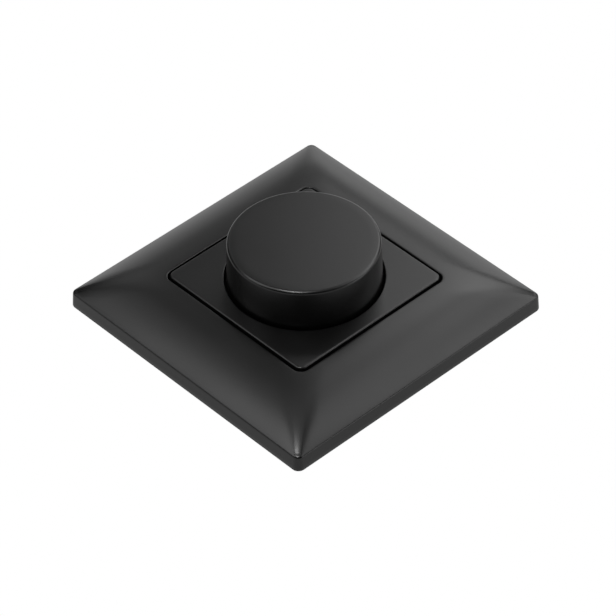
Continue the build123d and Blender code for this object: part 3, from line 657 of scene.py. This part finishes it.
class Finish:
    """A node material with a short way to add and link nodes."""

    def __init__(self, name):
        self.material = bpy.data.materials.new(name)
        self.material.use_nodes = True
        self.tree = self.material.node_tree
        self.shader = self.tree.nodes["Principled BSDF"]
        self.coords = self.add("ShaderNodeTexCoord")

    def add(self, kind, **values):
        node = self.tree.nodes.new(kind)
        for key, value in values.items():
            if hasattr(node, key):
                setattr(node, key, value)
            else:
                node.inputs[key].default_value = value
        return node

    def link(self, source, target):
        self.tree.links.new(source, target)

    def noise(self, scale, detail=3.0, rough=0.5, stretch=None):
        node = self.add("ShaderNodeTexNoise")
        node.inputs["Scale"].default_value = scale
        node.inputs["Detail"].default_value = detail
        node.inputs["Roughness"].default_value = rough
        source = self.coords.outputs["Object"]
        if stretch:
            mapping = self.add("ShaderNodeMapping")
            mapping.inputs["Scale"].default_value = stretch
            self.link(source, mapping.inputs["Vector"])
            source = mapping.outputs["Vector"]
        self.link(source, node.inputs["Vector"])
        return node.outputs["Fac"]

    def spread(self, source, low, high, start=0.3, end=0.7):
        node = self.add("ShaderNodeMapRange")
        node.inputs["From Min"].default_value = start
        node.inputs["From Max"].default_value = end
        node.inputs["To Min"].default_value = low
        node.inputs["To Max"].default_value = high
        self.link(source, node.inputs["Value"])
        return node.outputs["Result"]

    def ramp(self, source, *stops):
        node = self.add("ShaderNodeValToRGB")
        ramp = node.color_ramp
        while len(ramp.elements) < len(stops):
            ramp.elements.new(0.5)
        for element, (place, color) in zip(ramp.elements, stops):
            element.position = place
            element.color = (*color, 1.0)
        self.link(source, node.inputs["Fac"])
        return node.outputs["Color"]

    def bump(self, source, strength, distance, before=None):
        node = self.add("ShaderNodeBump")
        node.inputs["Strength"].default_value = strength
        node.inputs["Distance"].default_value = distance
        self.link(source, node.inputs["Height"])
        if before:
            self.link(before, node.inputs["Normal"])
        return node.outputs["Normal"]

    def calc(self, operation, *values):
        """One arithmetic node; each value is a number or another node's output."""
        node = self.add("ShaderNodeMath", operation=operation)
        for socket, value in zip(node.inputs, values):
            if isinstance(value, (int, float)):
                socket.default_value = value
            else:
                self.link(value, socket)
        return node.outputs["Value"]

    def blend(self, one, other, share):
        """A weighted sum of two patterns."""
        first = self.calc("MULTIPLY", one, 1 - share)
        return self.calc("ADD", first, self.calc("MULTIPLY", other, share))

    def tint(self, mask, base, color):
        """Another colour where the mask is high."""
        node = self.add("ShaderNodeMixRGB")
        self.link(mask, node.inputs["Fac"])
        self.link(base, node.inputs["Color1"])
        node.inputs["Color2"].default_value = (*color, 1.0)
        return node.outputs["Color"]

    def worn_edges(self, radius, patches):
        """High along the edges and broken up by noise, from how far a rounded normal turns away."""
        soft = self.add("ShaderNodeBevel", samples=4)
        soft.inputs["Radius"].default_value = radius
        true = self.add("ShaderNodeNewGeometry")
        turn = self.add("ShaderNodeVectorMath", operation="DOT_PRODUCT")
        self.link(soft.outputs["Normal"], turn.inputs[0])
        self.link(true.outputs["Normal"], turn.inputs[1])
        edge = self.spread(turn.outputs["Value"], 1.0, 0.0, 0.86, 0.985)
        broken = self.spread(self.noise(patches, 3.0, 0.6), 0.35, 1.0, 0.35, 0.6)
        return self.calc("MULTIPLY", edge, broken)

    def out(self, rough, color=None, normal=None):
        """Links what varies to the shader and hands the material over."""
        for key, source in (("Base Color", color), ("Roughness", rough), ("Normal", normal)):
            if source:
                self.link(source, self.shader.inputs[key])
        return self.material


MICRON = 1e-6


def moulded(
    name, color, rough, grain=5200.0, depth=6.0, vary=0.05, shift=0.12, polish=0.06, pale=1.3
):
    """Moulded plastic: eroded grain, soft changes of gloss and tone, edges polished by handling."""
    f = Finish(name)
    cloud = f.noise(45.0, 2.0)
    fine = f.noise(grain, 2.0, 0.6)
    worn = f.worn_edges(0.0005, 260.0)
    tone = f.ramp(
        f.blend(cloud, fine, 0.35),
        (0.3, tuple(c * (1 - shift) for c in color)),
        (0.7, tuple(c * (1 + shift) for c in color)),
    )
    tone = f.tint(worn, tone, tuple(min(c * pale, 1.0) for c in color))
    gloss = f.spread(cloud, rough - vary, rough + vary)
    gloss = f.calc("SUBTRACT", gloss, f.calc("MULTIPLY", worn, polish))
    return f.out(color=tone, rough=gloss, normal=f.bump(fine, 0.35, depth * MICRON))


def metal(name, color, rough, stretch, grain, dull):
    """Bare or plated metal: rolled or drawn streaks, duller patches and brighter worn edges."""
    vary, polish = 0.1, 0.12
    f = Finish(name)
    streak = f.noise(grain, 4.0, 0.6, stretch)
    fine = f.noise(6000.0, 2.0, 0.7)
    cloud = f.blend(f.noise(160.0, 4.0, 0.65), fine, 0.3)
    worn = f.worn_edges(0.00035, 700.0)
    tone = f.ramp(cloud, (0.32, tuple(c * dull for c in color)), (0.68, color))
    tone = f.tint(worn, tone, tuple(min(c * 1.18, 1.0) for c in color))
    drawn = f.spread(streak, rough - vary / 2, rough + vary)
    gloss = f.calc("ADD", drawn, f.spread(cloud, 0.04, -0.04))
    gloss = f.calc("SUBTRACT", gloss, f.calc("MULTIPLY", worn, polish))
    f.shader.inputs["Metallic"].default_value = 1.0
    relief = f.bump(fine, 0.12, 4 * MICRON, f.bump(streak, 0.25, 6 * MICRON))
    return f.out(color=tone, rough=gloss, normal=relief)


# moulded: grain scale and depth in microns; metal: streak stretch and scale, dull share
EVEN = (1, 1, 1)
FINISHES = {
    "satin_black_plastic": moulded(
        "satin_black", (0.0015, 0.0015, 0.0015), 0.3, vary=0.02, shift=0.06, polish=0.08
    ),
    "housing_plastic": moulded(
        "housing", (0.6, 0.6, 0.575), 0.48, 3800.0, 10.0, shift=0.035, pale=1.12
    ),
    "dark_plastic": moulded("dark_moulding", (0.028, 0.028, 0.031), 0.42, polish=0.1, pale=1.9),
    "zinc_steel": metal("zinc_sheet", (0.56, 0.575, 0.59), 0.42, (1, 14, 14), 420.0, 0.9),
    "screw_steel": metal("screw_plating", (0.6, 0.6, 0.58), 0.3, (1, 1, 6), 700.0, 0.8),
    "spring_steel": metal("spring_steel", (0.42, 0.43, 0.45), 0.27, (1, 1, 8), 900.0, 0.82),
    "brass": metal("brass", (0.72, 0.52, 0.24), 0.3, (1, 1, 10), 800.0, 0.72),
    "aluminium": metal("tinned_metal", (0.7, 0.7, 0.69), 0.36, EVEN, 1400.0, 0.84),
    "board": moulded("laminate_board", (0.36, 0.27, 0.13), 0.46, 1500.0, 8.0, shift=0.16),
    "capacitor_yellow": moulded("yellow_box", (0.76, 0.52, 0.06), 0.3, 2600.0, shift=0.05),
    "film_red": moulded("red_dip", (0.42, 0.055, 0.035), 0.2, 900.0, 30.0, shift=0.08),
    "component_beige": moulded(
        "beige_lacquer", (0.66, 0.53, 0.35), 0.3, 1600.0, 10.0, shift=0.06
    ),
    "ferrite": moulded("ferrite_core", (0.055, 0.055, 0.06), 0.58, 2500.0, 20.0, pale=1.7),
    "copper_wire": metal("copper_wire", (0.56, 0.2, 0.08), 0.24, (1, 30, 1), 300.0, 0.7),
    "carbon": moulded("carbon_film", (0.018, 0.018, 0.019), 0.38, 3000.0),
    "pad": moulded("soft_pad", (0.42, 0.43, 0.47), 0.7, 2200.0, 10.0, shift=0.06),
}


def clear_glass():
    """Thin clear glass with a faint tint."""
    f = Finish("clear_glass")
    f.shader.inputs["Transmission Weight"].default_value = 1.0
    f.shader.inputs["IOR"].default_value = 1.5
    f.shader.inputs["Base Color"].default_value = (0.93, 0.97, 0.95, 1.0)
    return f.out(rough=f.spread(f.noise(80.0), 0.02, 0.05))


FINISHES["fuse_glass"] = clear_glass()

for piece in [cover_frame_skin, centre_plate_skin, rotary_knob_skin] + softened:
    piece.data.materials.clear()
    piece.data.materials.append(FINISHES[SLOTS[piece.name.removesuffix("_skin")]])
for node, thing in frame["nodes"].items():
    finish = FINISHES[SLOTS[node]]
    if thing.data.materials:
        for k in range(len(thing.data.materials)):
            thing.data.materials[k] = finish
    else:
        thing.data.materials.append(finish)


# Studio


def floor_material():
    """White for the camera; other rays see a glow, dimmer near the object as a painted shadow of
    the object. Clear from below.
    """
    f = Finish("studio_floor")
    tree = f.tree
    glow = f.add("ShaderNodeEmission")
    glow.inputs["Color"].default_value = (1, 1, 1, 1)
    glow.inputs["Strength"].default_value = 1.0
    path = f.add("ShaderNodeLightPath")
    mix = f.add("ShaderNodeMixShader")
    f.link(path.outputs["Is Camera Ray"], mix.inputs["Fac"])
    soft = f.add("ShaderNodeEmission")
    f.link(soft.outputs["Emission"], mix.inputs[1])
    f.link(glow.outputs["Emission"], mix.inputs[2])
    side = f.add("ShaderNodeNewGeometry")
    away = f.add("ShaderNodeVectorMath", operation="LENGTH")
    f.link(side.outputs["Position"], away.inputs[0])
    # the glow's strength near and far, and the distances in metres between which it changes; the
    # weaker glow near the object is a painted shadow of the object
    strength = f.spread(away.outputs["Value"], 0.53, 0.78, 0.08, 0.13)
    f.link(strength, soft.inputs["Strength"])
    clear = f.add("ShaderNodeBsdfTransparent")
    one_way = f.add("ShaderNodeMixShader")
    f.link(side.outputs["Backfacing"], one_way.inputs["Fac"])
    f.link(mix.outputs["Shader"], one_way.inputs[1])
    f.link(clear.outputs["BSDF"], one_way.inputs[2])
    f.link(one_way.outputs["Shader"], tree.nodes["Material Output"].inputs["Surface"])
    f.material.cycles.emission_sampling = "NONE"
    return f.material


FLOOR_Z = -0.0236  # just below the housing's rear
bm = bmesh.new()
bmesh.ops.create_grid(bm, x_segments=1, y_segments=1, size=6.0)
floor_mesh = bpy.data.meshes.new("studio_floor")
bm.to_mesh(floor_mesh)
bm.free()
floor = bpy.data.objects.new("studio_floor", floor_mesh)
bpy.context.scene.collection.objects.link(floor)
floor.location.z = FLOOR_Z
floor.data.materials.append(floor_material())

world = bpy.data.worlds.new("studio_world")
bpy.context.scene.world = world
world.use_nodes = True
tree = world.node_tree
tree.nodes.clear()


def background(strength):
    """A white background of that strength."""
    node = tree.nodes.new("ShaderNodeBackground")
    node.inputs["Color"].default_value = (1, 1, 1, 1)
    node.inputs["Strength"].default_value = strength
    return node


# white for the camera, dark for everything else
to_camera, to_rest = background(1.0), background(0.0)
path = tree.nodes.new("ShaderNodeLightPath")
mix = tree.nodes.new("ShaderNodeMixShader")
out = tree.nodes.new("ShaderNodeOutputWorld")
tree.links.new(path.outputs["Is Camera Ray"], mix.inputs["Fac"])
tree.links.new(to_rest.outputs["Background"], mix.inputs[1])
tree.links.new(to_camera.outputs["Background"], mix.inputs[2])
tree.links.new(mix.outputs["Shader"], out.inputs["Surface"])


def softbox(name, azimuth, elevation, box, power):
    """A rectangular area light that faces the object; azimuth as for the camera."""
    distance, width, height = box
    data = bpy.data.lights.new(name, "AREA")
    data.shape = "RECTANGLE"
    data.size = width
    data.size_y = height
    data.energy = power
    a, e = radians(azimuth), radians(elevation)
    back = Vector((sin(a) * cos(e), -cos(a) * cos(e), sin(e)))
    lamp = bpy.data.objects.new(name, data)
    lamp.location = back * distance
    lamp.rotation_mode = "QUATERNION"
    lamp.rotation_quaternion = back.to_track_quat("Z", "Y")
    bpy.context.scene.collection.objects.link(lamp)


# Softboxes: distance, width and height in metres
PANEL = (0.7, 0.38, 0.3)
STRIP = (0.7, 0.38, 0.18)
CLOSE = (0.35, 0.2, 0.2)

# Azimuth, elevation, softbox and power in watts. The powers come from a least-squares fit to the
# photograph's tones, apart from (240, 75) and the last two, which were set one by one.
LIGHTS = (
    (150, 30, PANEL, 0.953),
    (330, 52, PANEL, 0.748),
    (120, 8, STRIP, 0.574),
    (150, 52, PANEL, 0.449),
    (330, 30, PANEL, 0.414),
    (180, 52, PANEL, 0.374),
    (120, 52, PANEL, 0.326),
    (240, 75, PANEL, 0.2),
    (300, 52, PANEL, 0.263),
    (210, 8, STRIP, 0.261),
    (205, 40, CLOSE, 0.174),
    (240, 8, STRIP, 0.149),
    (240, 30, PANEL, 0.145),
    (258, 42, (0.7, 0.3, 0.3), 0.142),
    (190, 40, CLOSE, 0.13),
    # two small lamps in front: the thin lines on the knob's rim and on the near crease
    (10, 76, (0.7, 0.12, 0.12), 1.4),
    (28, 62, (0.7, 0.1, 0.1), 0.6),
)
for az, el, box, power in LIGHTS:
    softbox(f"softbox_{az}_{el}", az, el, box, power)

# Camera at the photograph's viewing angle
IMAGE_WIDTH = 616
FOCAL_PIXELS = 3437.5
SENSOR = 36.0
CAMERA_AWAY = 0.88345
CAMERA_TURN = (47.418, 42.441, -1.183)  # azimuth, elevation and roll in degrees
AIM = Vector((0.995, -0.012, 0.0)) * MM
camera_data = bpy.data.cameras.new("camera")
camera_data.sensor_width = SENSOR
camera_data.lens = FOCAL_PIXELS / IMAGE_WIDTH * SENSOR
camera_data.clip_start = 0.05
camera_data.clip_end = 50.0
camera = bpy.data.objects.new("camera", camera_data)
bpy.context.scene.collection.objects.link(camera)
azimuth, elevation, roll = (radians(angle) for angle in CAMERA_TURN)
back = Vector((sin(azimuth) * cos(elevation), -cos(azimuth) * cos(elevation), sin(elevation)))
across = Vector((0, 0, 1)).cross(back).normalized()
upward = back.cross(across)
right = cos(roll) * across + sin(roll) * upward
up = -sin(roll) * across + cos(roll) * upward
matrix = Matrix((right, up, back)).transposed().to_4x4()
matrix.translation = AIM + back * CAMERA_AWAY
camera.matrix_world = matrix
bpy.context.scene.camera = camera

view = bpy.context.scene.view_settings
view.view_transform = "Standard"
view.look = "None"
view.exposure = 0.0
view.gamma = 1.0
